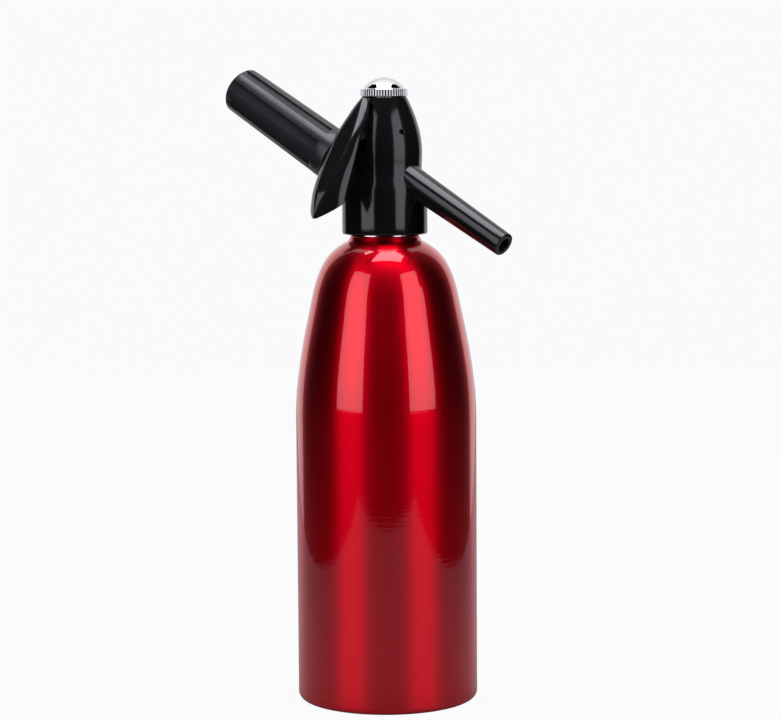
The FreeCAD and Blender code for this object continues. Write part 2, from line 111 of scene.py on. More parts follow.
# %% The bottle's finish
def anodised_aluminium():
    material, tree, out = new_material("red_anodised_aluminium_clear_lacquer")
    coords = add(tree, "ShaderNodeTexCoord")
    flow = add(tree, "ShaderNodeMapping", Vector=coords.outputs["Object"], Scale=(45.0, 45.0, 900.0))
    ripple = add(tree, "ShaderNodeTexNoise", Vector=flow.outputs[0], Scale=1.0, Detail=2.0, Roughness=0.4)
    waves = add(tree, "ShaderNodeBump", Height=ripple.outputs[0], Strength=0.11, Distance=0.00012)
    mottle = add(tree, "ShaderNodeTexNoise", Vector=coords.outputs["Object"], Scale=26.0, Detail=3.0)
    shade = add(tree, "ShaderNodeValToRGB", Fac=mottle.outputs[0])
    shade.color_ramp.elements[0].color = swatch("E6021C")
    shade.color_ramp.elements[1].color = swatch("F20422")
    turned = add(tree, "ShaderNodeTangent", {"direction_type": "RADIAL", "axis": "Z"})
    skin = add(tree, "ShaderNodeBsdfPrincipled", Base_Color=shade.outputs[0], Metallic=1.0, Roughness=0.40,
               Anisotropic=0.78, Anisotropic_Rotation=0.25, Tangent=turned.outputs[0], Coat_Weight=1.0,
               Coat_Roughness=0.025, Coat_IOR=1.5, Coat_Normal=waves.outputs[0])
    tree.links.new(skin.outputs[0], out.inputs[0])
    return material


red_aluminium = anodised_aluminium()
print("made", red_aluminium.name)

# %% [markdown]
# ## Three black plastics
#
# All are moulded ABS, with the index of refraction of 1.5 that makes plastic reflect 4 per cent from straight
# in front. The tool for the head and the lever was polished, so they mirror the studio. The nozzle's
# tool was less so, and the holder comes from a finely blasted one. Moulded faces are never quite flat:
# a shallow wave about 9 mm long, from shrinkage, keeps the reflections from looking ruled.

# %% The black plastics
def moulded_black(name, colour, roughness, grain_mm, grain_strength):
    material, tree, out = new_material(name)
    coords = add(tree, "ShaderNodeTexCoord")
    sink = add(tree, "ShaderNodeTexNoise", Vector=coords.outputs["Object"], Scale=110.0, Detail=1.0)
    slow = add(tree, "ShaderNodeBump", Height=sink.outputs[0], Strength=0.06, Distance=0.0003)
    grain = add(tree, "ShaderNodeTexNoise", Vector=coords.outputs["Object"], Scale=1000.0 / grain_mm,
                Detail=2.0)
    fine = add(tree, "ShaderNodeBump", Height=grain.outputs[0], Strength=grain_strength, Distance=0.00004,
               Normal=slow.outputs[0])
    wear = add(tree, "ShaderNodeTexNoise", Vector=coords.outputs["Object"], Scale=60.0, Detail=4.0)
    gloss = add(tree, "ShaderNodeMapRange", Value=wear.outputs[0], From_Min=0.3, From_Max=0.7,
                To_Min=roughness * 0.85, To_Max=roughness * 1.2)
    body = add(tree, "ShaderNodeBsdfPrincipled", Base_Color=swatch(colour), Roughness=gloss.outputs[0],
               IOR=1.5, Normal=fine.outputs[0])
    tree.links.new(body.outputs[0], out.inputs[0])
    return material


gloss_black = moulded_black("polished_moulded_abs_black", "18181A", 0.12, 0.5, 0.02)
spout_black = moulded_black("semi_gloss_moulded_abs_black", "161617", 0.16, 0.4, 0.05)
soft_black = moulded_black("satin_moulded_abs_black", "303033", 0.30, 0.35, 0.10)
print("made", gloss_black.name, spout_black.name, soft_black.name)

# %% [markdown]
# ## Chrome, nickel, steel, brass and rubber
#
# The plated cap mirrors everything. The parts inside are turned metal, whose fine rings spread light
# along the axis, and plain moulded rubber. The metals share one recipe: a colour, a roughness and
# turning marks. Real marks are about 0.05 mm apart, which is too fine to show, so they are drawn 0.25 mm
# apart. Rubber has a dull bloom, a faint grain of about 1 mm.

# %% The metals and the rubbers
def turned_metal(name, colour, roughness, mark_strength):
    material, tree, out = new_material(name)
    coords = add(tree, "ShaderNodeTexCoord")
    lathe_marks = add(tree, "ShaderNodeMapping", Vector=coords.outputs["Object"], Scale=(30.0, 30.0, 4000.0))
    marks = add(tree, "ShaderNodeTexNoise", Vector=lathe_marks.outputs[0], Scale=1.0, Detail=2.0)
    bump = add(tree, "ShaderNodeBump", Height=marks.outputs[0], Strength=mark_strength, Distance=0.00003)
    body = add(tree, "ShaderNodeBsdfPrincipled", Base_Color=swatch(colour), Metallic=1.0, Roughness=roughness,
               Normal=bump.outputs[0])
    tree.links.new(body.outputs[0], out.inputs[0])
    return material


def moulded_rubber(name, colour, roughness=0.62):
    material, tree, out = new_material(name)
    coords = add(tree, "ShaderNodeTexCoord")
    bloom = add(tree, "ShaderNodeTexNoise", Vector=coords.outputs["Object"], Scale=900.0, Detail=3.0)
    bump = add(tree, "ShaderNodeBump", Height=bloom.outputs[0], Strength=0.2, Distance=0.00005)
    body = add(tree, "ShaderNodeBsdfPrincipled", Base_Color=swatch(colour), Roughness=roughness,
               Normal=bump.outputs[0])
    tree.links.new(body.outputs[0], out.inputs[0])
    return material


chrome = turned_metal("bright_chrome_plate", "F2F2F4", 0.04, 0.02)
# Dark, dull plate for the bottom of the knurl's gaps: painted shade between the cap's ribs.
painted_gap_shade = turned_metal("chrome_with_painted_gap_shade", "303032", 0.35, 0.05)
nickel = turned_metal("turned_nickel_plate", "D8D5CE", 0.16, 0.25)
steel = turned_metal("drawn_stainless_steel", "C4C4C6", 0.24, 0.20)
brass = turned_metal("machined_brass", "D8B56A", 0.22, 0.25)
dark_rubber = moulded_rubber("moulded_nitrile_rubber", "1C1C1D")
pale_rubber = moulded_rubber("moulded_silicone_rubber", "C9C6BC")
natural_plastic = moulded_rubber("natural_polypropylene", "DEDFDB", 0.35)
print("made the finishes of the metal, rubber and clear parts")

# %% [markdown]
# ## Outlines from smooth curves
#
# The bottle and the head are bodies of revolution, and their gloss shows every kink in the outline.
# A polygon or a chain of arcs would show as broken reflections, so each outline is a few Bezier pieces
# that share their end directions. One function samples a piece, another turns the outline round Z.

# %% Draw and turn an outline
def curve(p0, p1, p2, p3, steps):
    """Points of one Bezier piece, without its last point."""
    points = []
    for i in range(steps):
        t = i / steps
        a, b, c, d = (1 - t) ** 3, 3 * (1 - t) ** 2 * t, 3 * (1 - t) * t * t, t ** 3
        points.append(tuple(a * p0[k] + b * p1[k] + c * p2[k] + d * p3[k] for k in (0, 1)))
    return points


def rounded(corner, before, after, radius, steps=4):
    """Quarter-like round of a corner between two neighbouring points."""
    c = Vector(corner)
    p = c + (Vector(before) - c).normalized() * radius
    q = c + (Vector(after) - c).normalized() * radius
    pts = curve(p, p + (c - p) * 0.56, q + (c - q) * 0.56, q, steps)
    return pts + [tuple(q)]


def turn(outline, segments=160):
    """Mesh of a closed outline of (radius, height) in mm, turned round Z; ends on the axis become poles."""
    bm = bmesh.new()
    rings = []
    for r, z in outline:
        if r < 1e-6:
            rings.append([bm.verts.new((0, 0, z * MM))])
            continue
        ring = []
        for i in range(segments):
            t = 2 * math.pi * i / segments
            ring.append(bm.verts.new((r * math.cos(t) * MM, r * math.sin(t) * MM, z * MM)))
        rings.append(ring)
    closed = outline[0][0] > 1e-6
    pairs = list(zip(rings, rings[1:] + rings[:1])) if closed else list(zip(rings, rings[1:]))
    for low, high in pairs:
        for i in range(segments):
            j = (i + 1) % segments
            corners = [low[i % len(low)], low[j % len(low)], high[j % len(high)], high[i % len(high)]]
            unique = list(dict.fromkeys(corners))
            if len(unique) > 2:
                bm.faces.new(unique)
    bmesh.ops.recalc_face_normals(bm, faces=bm.faces)
    return bm


def piece(name, bm, material, sharp_deg=32.0):
    """Turn a bmesh into a smooth-shaded object whose edges stay crisp past an angle."""
    mesh = bpy.data.meshes.new(name)
    bm.to_mesh(mesh)
    bm.free()
    mesh.shade_smooth()
    mesh.set_sharp_from_angle(angle=math.radians(sharp_deg))
    mesh.materials.append(material)
    made = bpy.data.objects.new(name, mesh)
    bpy.context.scene.collection.objects.link(made)
    return made


print("outline helpers ready")

# %% [markdown]
# ## The bottle
#
# A deep-drawn can whose wall narrows in one long sweep to a round shoulder and a short threaded neck.
# It could be modelled by subdivision, but a turned outline gives exact sizes. The wall is a real one:
# the outline goes up outside, over the lip and back down inside. The foot is domed inwards, so that the
# bottle stands on a ring.

# %% Outline of the bottle
BODY_R, WALL, NECK_R, BORE_R, NECK_TOP = 45.0, 1.6, 16.4, 13.2, 246.0
FOOT_ROUND, FOOT_RING, FOOT_DOME = 3.5, 5.0, 5.0
BODY_TOP, SHOULDER, NECK_FOOT, COLLAR_TOP = 140, (36.3, 203.0), (18.9, 229.7), (17.8, 231.0)
THREAD_PITCH, THREAD_DEPTH, THREAD_START = 3.0, 0.9, 233.4


def bottle_outside():
    dome_r = BODY_R - FOOT_ROUND - FOOT_RING
    sweep = [i / 16 * math.pi / 2 for i in range(17)]
    pts = [(dome_r * math.sin(a), FOOT_DOME * math.cos(a) ** 1.2) for a in sweep]
    pts[0] = (0.0, FOOT_DOME)
    pts += rounded((BODY_R, 0), (dome_r, 0), (BODY_R, 50), FOOT_ROUND, 8)
    pts += [(BODY_R, z) for z in range(12, BODY_TOP, 8)]
    pts += curve((BODY_R, BODY_TOP), (BODY_R, 164), (41.5, 178.5), SHOULDER, 28)
    pts += curve(SHOULDER, (32.35, 221.6), (25.6, 226.1), NECK_FOOT, 26)
    pts += curve(NECK_FOOT, (18.3, 230.05), (18.0, 230.5), COLLAR_TOP, 6)
    pts += [COLLAR_TOP, (16.95, 232.5), (NECK_R - 0.6, 232.7)]
    return pts


def neck_thread():
    """The thread's ridges as seen from the side: flat-topped ribs one pitch apart."""
    crest, root = NECK_R - 0.1, NECK_R - THREAD_DEPTH
    pts, z = [], THREAD_START
    while z + THREAD_PITCH < NECK_TOP - 0.6:
        pts += [(root, z), (crest, z + 0.9), (crest, z + 1.5), (root, z + 2.4)]
        z += THREAD_PITCH
    return pts


def bottle_inside():
    wall_r, shoulder = BODY_R - WALL, (34.5, 202.6)
    pts = [(NECK_R - 0.7, NECK_TOP - 0.5), (NECK_R - 1.2, NECK_TOP), (BORE_R + 0.4, NECK_TOP)]
    pts += [(BORE_R, NECK_TOP - 0.4), (BORE_R, COLLAR_TOP[1])]
    pts += curve((BORE_R, 229.0), (24.0, 224.0), (30.6, 220.0), shoulder, 14)
    pts += curve(shoulder, (39.8, 178.5), (wall_r, 164), (wall_r, BODY_TOP), 14)
    pts += [(wall_r, 12.0), (wall_r - 3, 7.5), (30.0, 6.9), (0.0, FOOT_DOME + WALL)]
    return pts


bottle = piece("bottle_shell", turn(bottle_outside() + neck_thread() + bottle_inside(), 192), red_aluminium)
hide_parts("bottle")
print("bottle:", len(bottle.data.polygons), "faces,", "diameter", round(bottle.dimensions.x * 1000, 1), "mm")

# %% [markdown]
# ## Cutting with solid tools
#
# A moulded head has a slot and pin holes, which a turned outline can't give. Booleans cut them
# as a drill or a core in the mould would. The exact solver keeps the smooth faces as they are.
# A small bevel then breaks each sharp edge, because moulded edges always have a radius that
# catches the light.

# %% Boolean and bevel helpers
def apply_modifiers(thing):
    """Replace the mesh by the evaluated one and drop the modifiers."""
    graph = bpy.context.evaluated_depsgraph_get()
    mesh = bpy.data.meshes.new_from_object(thing.evaluated_get(graph))
    thing.modifiers.clear()
    thing.data = mesh
    return thing


def carve(thing, tool, operation="DIFFERENCE"):
    """Cut a tool out of a piece, or join it on, and remove the tool."""
    cut = thing.modifiers.new("cut", "BOOLEAN")
    cut.object, cut.operation, cut.solver = tool, operation, "EXACT"
    apply_modifiers(thing)
    bpy.data.objects.remove(tool)
    return thing


def ease_edges(thing, width_mm, angle_deg=38.0, segments=3, sharp_deg=40.0):
    """Round the sharp edges, then shade the rest smoothly."""
    edge = thing.modifiers.new("ease", "BEVEL")
    edge.width, edge.segments, edge.limit_method = width_mm * MM, segments, "ANGLE"
    edge.angle_limit, edge.harden_normals = math.radians(angle_deg), False
    edge.use_clamp_overlap = True
    apply_modifiers(thing)
    thing.data.shade_smooth()
    thing.data.set_sharp_from_angle(angle=math.radians(sharp_deg))
    return thing


def block(lo, hi):
    """Box between two corners in mm, as a bmesh."""
    bm = bmesh.new()
    bmesh.ops.create_cube(bm, size=1.0)
    for v in bm.verts:
        v.co = Vector([(lo[i] + (v.co[i] + 0.5) * (hi[i] - lo[i])) * MM for i in range(3)])
    return bm


def prism(points_yz, half_w):
    """Plate of a (y, z) outline, in mm, from -half_w to half_w along X."""
    bm = bmesh.new()
    sides = [[bm.verts.new((x * MM, y * MM, z * MM)) for y, z in points_yz] for x in (-half_w, half_w)]
    bm.faces.new(sides[0])
    bm.faces.new(list(reversed(sides[1])))
    for i in range(len(points_yz)):
        j = (i + 1) % len(points_yz)
        bm.faces.new((sides[0][j], sides[0][i], sides[1][i], sides[1][j]))
    bmesh.ops.recalc_face_normals(bm, faces=bm.faces)
    return bm


def cross_rod(r, half_w, y, z, segments=48):
    """Rod along X."""
    angles = [2 * math.pi * i / segments for i in range(segments)]
    return prism([(y + r * math.cos(a), z + r * math.sin(a)) for a in angles], half_w)


def aim(bm, side, tilt_deg, height):
    """Lay a mesh built along +Z outwards from the head: side 1 down the nozzle, -1 up the holder."""
    angle = math.radians(90 + tilt_deg if side > 0 else -90 + tilt_deg)
    bm.transform(Matrix.Translation((0, 0, height * MM)) @ Matrix.Rotation(angle, 4, "Y"))
    return bm


print("cutting helpers ready")

# %% [markdown]
# ## The siphon head
#
# The head is bullet shaped: a straight skirt round the neck, a hollow waist where nozzle and holder meet it,
# and a crown that closes in towards the cap. It is turned as one closed outline, with the bore for
# the neck ring inside. The slot for the lever's arm, the two holes of the pivot pin and the stepped bore
# of the valve are then cut through.

# %% The head's outline
RIM_Z, RIM_R, CROWN_Z, CROWN_R = 233.5, 21.2, 301.4, 11.15
RING_R, CEILING_Z = 18.0, 249.0
WAIST, BELLY = (18.48, 265.6), (18.75, 273.4)


def head_outline():
    pts = rounded((RIM_R, RIM_Z), (RING_R, RIM_Z), (RIM_R, 250), 0.9, 5)
    pts += [(RIM_R, z) for z in (238, 242, 246, 250)]
    pts += curve((RIM_R, 253.5), (RIM_R, 258.6), (18.55, 260.4), WAIST, 18)
    pts += curve(WAIST, (18.46, 268.4), (18.72, 270.2), BELLY, 8)
    pts += curve(BELLY, (18.8, 283.2), (15.55, 292.4), (CROWN_R, CROWN_Z - 0.4), 30)
    pts += [(CROWN_R, CROWN_Z - 0.4), (CROWN_R - 0.45, CROWN_Z), (0.0, CROWN_Z)]
    inner = [(0.0, CEILING_Z), (RING_R, CEILING_Z), (RING_R, RIM_Z + 0.35), (RING_R + 0.35, RIM_Z)]
    return list(reversed(pts)) + list(reversed(inner))


print("head outline:", len(head_outline()), "points")

# %% Slot, pin holes and valve bore
PIVOT_Y, PIVOT_Z, PIN_R = -6.5, 284.0, 1.35
SLOT_HALF, SLOT_BACK_Y, SLOT_FOOT_Z, SLOT_TOP_Z = 3.4, -10.25, PIVOT_Z - 9.2, CROWN_Z - 3.6
HEEL_HALF, HEEL_Y, HEEL_FOOT_Z, HEEL_TOP_Z = 2.5, 1.0, PIVOT_Z - 4.05, PIVOT_Z + 4.0
GAS_ROOM_R, GAS_ROOM_Z, PISTON_R, PISTON_Z, GUIDE_R = 9.5, 258.5, 6.0, 278.3, 4.4
PAST = 1.0  # how far a cutting tool goes past the face it opens


def slot_core():
    return block((-SLOT_HALF, -RIM_R - PAST, SLOT_FOOT_Z), (SLOT_HALF, SLOT_BACK_Y, SLOT_TOP_Z))


def slot_heel():
    return block((-HEEL_HALF, SLOT_BACK_Y - 0.05, HEEL_FOOT_Z), (HEEL_HALF, HEEL_Y, HEEL_TOP_Z))


def valve_bore():
    low, high = CEILING_Z - PAST, CROWN_Z + PAST
    steps = [(0.0, low), (GAS_ROOM_R, low), (GAS_ROOM_R, GAS_ROOM_Z), (PISTON_R, GAS_ROOM_Z)]
    return turn(steps + [(PISTON_R, PISTON_Z), (GUIDE_R, PISTON_Z), (GUIDE_R, high), (0.0, high)], 64)


head = piece("head_moulding", turn(head_outline()), gloss_black)
carve(head, piece("slot_core", slot_core(), gloss_black))
carve(head, piece("slot_heel", slot_heel(), gloss_black))
carve(head, piece("pin_drill", cross_rod(PIN_R, 30.0, PIVOT_Y, PIVOT_Z), gloss_black))
carve(head, piece("valve_bore", valve_bore(), gloss_black))
ease_edges(head, 0.28)
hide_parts("head_shell")
print("head:", len(head.data.polygons), "faces")

# %% [markdown]
# ## The boss of the holder
#
# A short round stub on the back of the head carries the thread on which the holder screws. It is hidden
# until the holder comes off. It is a second piece set into the head rather than part of its outline,
# because it points along the holder's axis, 28.4 degrees above the level.

# %% The boss
NOZZLE_TILT, NOZZLE_Z, HOLDER_TILT, HOLDER_Z = 28.1, 269.4, 28.4, 253.9
BOSS_R, BOSS_START, HOLDER_ROOT = 11.0, 15.0, 33.5
BOSS_END = HOLDER_ROOT - 0.5


def boss_outline():
    pts = [(0.0, BOSS_START), (BOSS_R, BOSS_START), (BOSS_R, BOSS_END - 0.7)]
    return pts + [(BOSS_R - 0.5, BOSS_END), (0.0, BOSS_END)]


boss = piece("holder_boss", aim(turn(boss_outline(), 96), -1, HOLDER_TILT, HOLDER_Z), gloss_black)
print("boss:", len(boss.data.polygons), "faces")

# %% [markdown]
# ## The lever
#
# The lever is a beak: two bowed flanks meet in a keel, and both widen towards the finger end, which is
# cut off on a slant. Seen from behind it is a hollow moulding. A subdivided box could be pulled into
# this form, but a loft holds its sizes: it goes through level outlines, one per station, with more rows
# put between them on a smooth curve.

# %% Stations of the lever and rows between them
STATIONS = (  # height, keel distance, edge distance, half width
    (300.4, 17.0, 15.3, 2.0),
    (297.0, 20.0, 17.6, 3.9),
    (293.0, 23.2, 20.3, 5.3),
    (284.0, 30.1, 27.2, 7.2),
    (276.5, 35.8, 31.3, 8.3),
    (268.3, 42.1, 35.8, 9.3),
    (260.0, 48.0, 40.1, 9.9),
    (253.0, 51.8, 42.9, 10.0),
    (241.0, 55.2, 46.0, 10.0),
)
TIP, CORNER, HOLLOW_TOP = (-53.6, 243.4), (-43.4, 250.4), 283.0
SIDE, SHELL, TIP_ROUND = 2.4, 2.0, 0.45
BOW_ENDS, BOW_MORE, BOW_SPAN, BOW_FADE = 0.4, 1.8, 57.0, 0.92
KEEL_SLOPE, KEEL_END = Vector((0, 0.272, 0.962)), Vector((0, -54.74, 242.6))


def rows_between(stations, per_span=6):
    """Catmull-Rom rows through the stations."""
    pts = [Vector(s) for s in stations]
    pts = [pts[0] * 2 - pts[1]] + pts + [pts[-1] * 2 - pts[-2]]
    rows = []
    for i in range(1, len(pts) - 2):
        for k in range(per_span):
            t = k / per_span
            a, b, c, d = pts[i - 1:i + 3]
            square, cube = 2 * a - 5 * b + 4 * c - d, 3 * b - a - 3 * c + d
            rows.append(0.5 * (2 * b + (c - a) * t + square * t * t + cube * t ** 3))
    return rows + [pts[-2]]


def loft(rows, section):
    """Closed skin through one section per row, with both ends capped."""
    bm = bmesh.new()
    rings = [[bm.verts.new(Vector(p) * MM) for p in section(row)] for row in rows]
    for low, high in zip(rings, rings[1:]):
        for i in range(len(low)):
            j = (i + 1) % len(low)
            bm.faces.new((low[i], low[j], high[j], high[i]))
    bm.faces.new(rings[0])
    bm.faces.new(list(reversed(rings[-1])))
    bmesh.ops.recalc_face_normals(bm, faces=bm.faces)
    return bm


def flank(a, k, bulge, steps=7):
    """Bowed line from an edge to the keel."""
    side = 1 if a.x > 0 else -1
    out = Vector((side * 0.6, -0.6, 0)) * bulge
    return [a.lerp(k, t / steps) + out * 4 * (t / steps) * (1 - t / steps) for t in range(steps + 1)]


def beak_section(row):
    z, keel, edge, half = row
    a, k, b = Vector((-half, -edge, z)), Vector((0, -keel, z)), Vector((half, -edge, z))
    down = min(1.0, (STATIONS[0][0] - z) / BOW_SPAN)
    bow = BOW_ENDS + BOW_MORE * math.sin(math.pi * BOW_FADE * down)
    left, right = flank(a, k, bow), flank(b, k, bow)
    back = [Vector((half * 0.9, -edge + SIDE, z)), Vector((-half * 0.9, -edge + SIDE, z))]
    return left + list(reversed(right[:-1])) + back


def hollow_section(row):
    z, keel, edge, half = row
    w, back, front = half - SHELL, SIDE + 3 - edge, -edge - 0.3
    points = ((-w, back), (-w, front), (0, 1.35 * SHELL - keel), (w, front), (w, back))
    return [Vector((x, y, z)) for x, y in points]


lever_rows = rows_between(STATIONS)
hollow_rows = [r for r in lever_rows if r[0] < HOLLOW_TOP]
print("lever rows:", len(lever_rows), "hollow rows:", len(hollow_rows))

# %% [markdown]
# ## The lever's slanted end and its round tip
#
# The finger end is one straight cut. Where it meets the keel, the moulding is rounded, so a fan of planes
# that all touch one small circle cuts the corner. A bevel would do it too, but here it would run
# along the whole rim as well.

# %% Trim the loft
def trim(bm, point, outward):
    """Cut away what lies past a plane, and close the cut."""
    geometry = bm.verts[:] + bm.edges[:] + bm.faces[:]
    cut = bmesh.ops.bisect_plane(bm, geom=geometry, plane_co=point * MM, plane_no=outward, clear_outer=True)
    rim = [e for e in cut["geom_cut"] if isinstance(e, bmesh.types.BMEdge)]
    bmesh.ops.contextual_create(bm, geom=rim)
    bmesh.ops.recalc_face_normals(bm, faces=bm.faces)
    return bm


end_slope = Vector((0, CORNER[0] - TIP[0], CORNER[1] - TIP[1])).normalized()
end_down = Vector((0, end_slope.z, -end_slope.y))


def cut_end(bm, lift):
    """Trim a loft along the lever's slanted end, raised by lift."""
    return trim(bm, Vector((0, TIP[0], TIP[1])) - end_down * lift, end_down)


def round_tip(bm, planes=8):
    """Cut the corner between keel and end with planes that touch a small circle."""
    half_angle = KEEL_SLOPE.angle(end_slope) / 2
    centre = KEEL_END + (KEEL_SLOPE + end_slope).normalized() * (TIP_ROUND / math.sin(half_angle))
    outer = Vector((0, -KEEL_SLOPE.z, KEEL_SLOPE.y))
    for i in range(1, planes):
        way = outer.slerp(end_down, i / planes)
        trim(bm, centre + way * TIP_ROUND, way)
    return bm


lever = piece("lever_moulding", round_tip(cut_end(loft(lever_rows, beak_section), 0.0)), gloss_black)
carve(lever, piece("lever_core", cut_end(loft(hollow_rows, hollow_section), SHELL), gloss_black))
print("lever with its hollow back:", len(lever.data.polygons), "faces")

# %% [markdown]
# ## The lever's web and arm
#
# A web inside the beak carries the eye of the pivot pin, and from there an arm reaches into the valve rod's
# window. Both are flat plates, so each is a side outline given a width. The web is joined to the beak
# before the edges are eased, so that the seam has a fillet as in a moulding.

# %% Join the web, add the arm
EYE_R, ARM_HALF, WEB_HALF, EYE_BACK_Y = 2.75, 2.2, 3.1, -11.05
FINGER_HALF, FINGER_ROOT_Y, FINGER_TIP_Y = 1.4, -4.6, 1.9
eye_low, eye_high = PIVOT_Z - EYE_R, PIVOT_Z + EYE_R
web = [(EYE_BACK_Y, eye_low), (EYE_BACK_Y, eye_high), (-17.3, 295.0), (-19.7, 291.5), (-26.0, 284.0)]
web += [(-26.0, 280.0)]
carve(lever, piece("web", prism(web, WEB_HALF), gloss_black), "UNION")
ease_edges(lever, 0.5, angle_deg=30.0, segments=4, sharp_deg=50.0)


def arm_outline():
    """From inside the web over the eye to the rounded finger in the rod."""
    low, high = PIVOT_Z - FINGER_HALF, PIVOT_Z + FINGER_HALF
    start = EYE_BACK_Y - 1.0
    over = [(start, eye_low), (start, eye_high), (PIVOT_Y, eye_high), (FINGER_ROOT_Y, high)]
    tip = [(0.0, high), (1.4, high - 0.2), (FINGER_TIP_Y, PIVOT_Z), (1.4, low + 0.2), (0.0, low)]
    return over + tip + [(FINGER_ROOT_Y, low), (PIVOT_Y, eye_low)]


arm = piece("lever_arm", prism(arm_outline(), ARM_HALF), gloss_black)
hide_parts("lever")
print("lever:", len(lever.data.polygons), "faces")

# %% [markdown]
# ## The nozzle
#
# A slim tapered spout with a thick wall. It is turned upright with its bore and then aimed down the slope,
# which keeps both ends square to its own axis as on the real tube.

# %% The nozzle
NOZZLE_ROOT, NOZZLE_END, NOZZLE_BORE = 15.0, 83.2, 3.3
NOZZLE_ROOT_R, NOZZLE_END_R, NOZZLE_TAPER = 7.25, 5.83, 1.4


def nozzle_outline(steps=12):
    length, square_on = NOZZLE_END - NOZZLE_ROOT - 0.7, 70.0
    pts = [(NOZZLE_BORE, NOZZLE_ROOT), (NOZZLE_ROOT_R, NOZZLE_ROOT)]
    for i in range(1, steps + 1):
        pts.append((NOZZLE_ROOT_R - NOZZLE_TAPER * i / steps, NOZZLE_ROOT + length * i / steps))
    outer, inner = (NOZZLE_END_R, NOZZLE_END), (NOZZLE_BORE, NOZZLE_END)
    pts += rounded(outer, (NOZZLE_END_R + 0.02, square_on), inner, 0.55, 4)
    return pts + rounded(inner, outer, (NOZZLE_BORE, square_on), 0.3, 3)


nozzle = piece("nozzle_spout", aim(turn(nozzle_outline(), 96), 1, NOZZLE_TILT, NOZZLE_Z), spout_black)
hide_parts("nozzle")
print("nozzle:", len(nozzle.data.polygons), "faces")

# %% [markdown]
# ## The charger holder and its grooves
#
# The holder is a tapered sleeve with a closed, rounded end, and eight long grooves give a grip for
# unscrewing it. The grooves repeat round an axis, which is what Geometry Nodes are for: one cutter block
# is instanced on a circle, leaned in by the taper, and all of them are subtracted from the sleeve. Depth,
# width and count are named inputs, so a grip with other grooves is one number away.

# %% A small helper for geometry trees
def geometry_tree(name, inputs):
    """New tree with a geometry input and output and the named inputs, each (kind, default)."""
    tree = bpy.data.node_groups.new(name, "GeometryNodeTree")
    tree.interface.new_socket("Geometry", in_out="INPUT", socket_type="NodeSocketGeometry")
    for label, (kind, default) in inputs.items():
        made = tree.interface.new_socket(label, in_out="INPUT", socket_type="NodeSocket" + kind)
        if default is not None:
            made.default_value = default
    tree.interface.new_socket("Geometry", in_out="OUTPUT", socket_type="NodeSocketGeometry")
    return tree, tree.nodes.new("NodeGroupInput"), tree.nodes.new("NodeGroupOutput")


def run_tree(thing, tree, values):
    """Run a tree on a piece with the given inputs, and keep the result as its mesh."""
    modifier = thing.modifiers.new(tree.name, "NODES")
    modifier.node_group = tree
    for item in tree.interface.items_tree:
        if item.in_out == "INPUT" and item.name in values:
            modifier[item.identifier] = values[item.name]
    return apply_modifiers(thing)


print("geometry helpers ready")

# %% The tree that grooves a sleeve
def groove_tree():
    tree, given, result = geometry_tree("grip_grooves", {
        "Count": ("Int", 8), "Radius": ("Float", 0.013), "Width": ("Float", 0.005), "Depth": ("Float", 0.001),
        "Start": ("Float", 0.04), "End": ("Float", 0.11), "Lean": ("Float", 0.0), "Phase": ("Float", 0.0),
        "Finish": ("Material", None)})
    value = given.outputs
    circle = add(tree, "GeometryNodeMeshCircle", {"fill_type": "NONE"}, Vertices=value["Count"],
                 Radius=value["Radius"])
    length = add(tree, "ShaderNodeMath", {"operation": "SUBTRACT"}, i0=value["End"], i1=value["Start"])
    deep = add(tree, "ShaderNodeMath", {"operation": "MULTIPLY"}, i0=value["Depth"], i1=2.0)
    size = add(tree, "ShaderNodeCombineXYZ", X=deep.outputs[0], Y=value["Width"], Z=length.outputs[0])
    cutter = add(tree, "GeometryNodeMeshCube", Size=size.outputs[0])
    half = add(tree, "ShaderNodeMath", {"operation": "MULTIPLY"}, i0=length.outputs[0], i1=0.5)
    up = add(tree, "ShaderNodeCombineXYZ", Z=half.outputs[0])
    raised = add(tree, "GeometryNodeTransform", Geometry=cutter.outputs["Mesh"], Translation=up.outputs[0])
    place = add(tree, "GeometryNodeInputPosition")
    parts = add(tree, "ShaderNodeSeparateXYZ", Vector=place.outputs[0])
    around = add(tree, "ShaderNodeMath", {"operation": "ARCTAN2"}, i0=parts.outputs[1], i1=parts.outputs[0])
    lean = add(tree, "ShaderNodeMath", {"operation": "MULTIPLY"}, i0=value["Lean"], i1=-1.0)
    facing = add(tree, "ShaderNodeCombineXYZ", Y=lean.outputs[0], Z=around.outputs[0])
    ring = add(tree, "GeometryNodeInstanceOnPoints", Points=circle.outputs[0], Instance=raised.outputs[0],
               Rotation=facing.outputs[0])
    base = add(tree, "ShaderNodeCombineXYZ", Z=value["Start"])
    spin = add(tree, "ShaderNodeCombineXYZ", Z=value["Phase"])
    set_down = add(tree, "GeometryNodeTransform", Geometry=ring.outputs[0], Translation=base.outputs[0],
                   Rotation=spin.outputs[0])
    real = add(tree, "GeometryNodeRealizeInstances", Geometry=set_down.outputs[0])
    cut = add(tree, "GeometryNodeMeshBoolean", {"operation": "DIFFERENCE", "solver": "EXACT"})
    tree.links.new(value["Geometry"], cut.inputs["Mesh 1"])
    tree.links.new(real.outputs[0], cut.inputs["Mesh 2"])
    whole = add(tree, "GeometryNodeRealizeInstances", Geometry=cut.outputs[0])
    finish = add(tree, "GeometryNodeSetMaterial", Geometry=whole.outputs[0], Material=value["Finish"])
    tree.links.new(finish.outputs[0], result.inputs[0])
    return tree


print("groove tree ready")

# %% The holder
HOLDER_TIP, HOLDER_R0, HOLDER_R1, HOLDER_BORE, SOCKET_R = 107.8, 13.0, 12.1, 9.6, 10.28
GROOVES, GROOVE_W, GROOVE_D, COLLAR = 8, 4.8, 1.3, 8.0
GROOVE_PHASE = math.radians(21.0)
taper = (HOLDER_R0 - HOLDER_R1) / (HOLDER_TIP - HOLDER_ROOT)


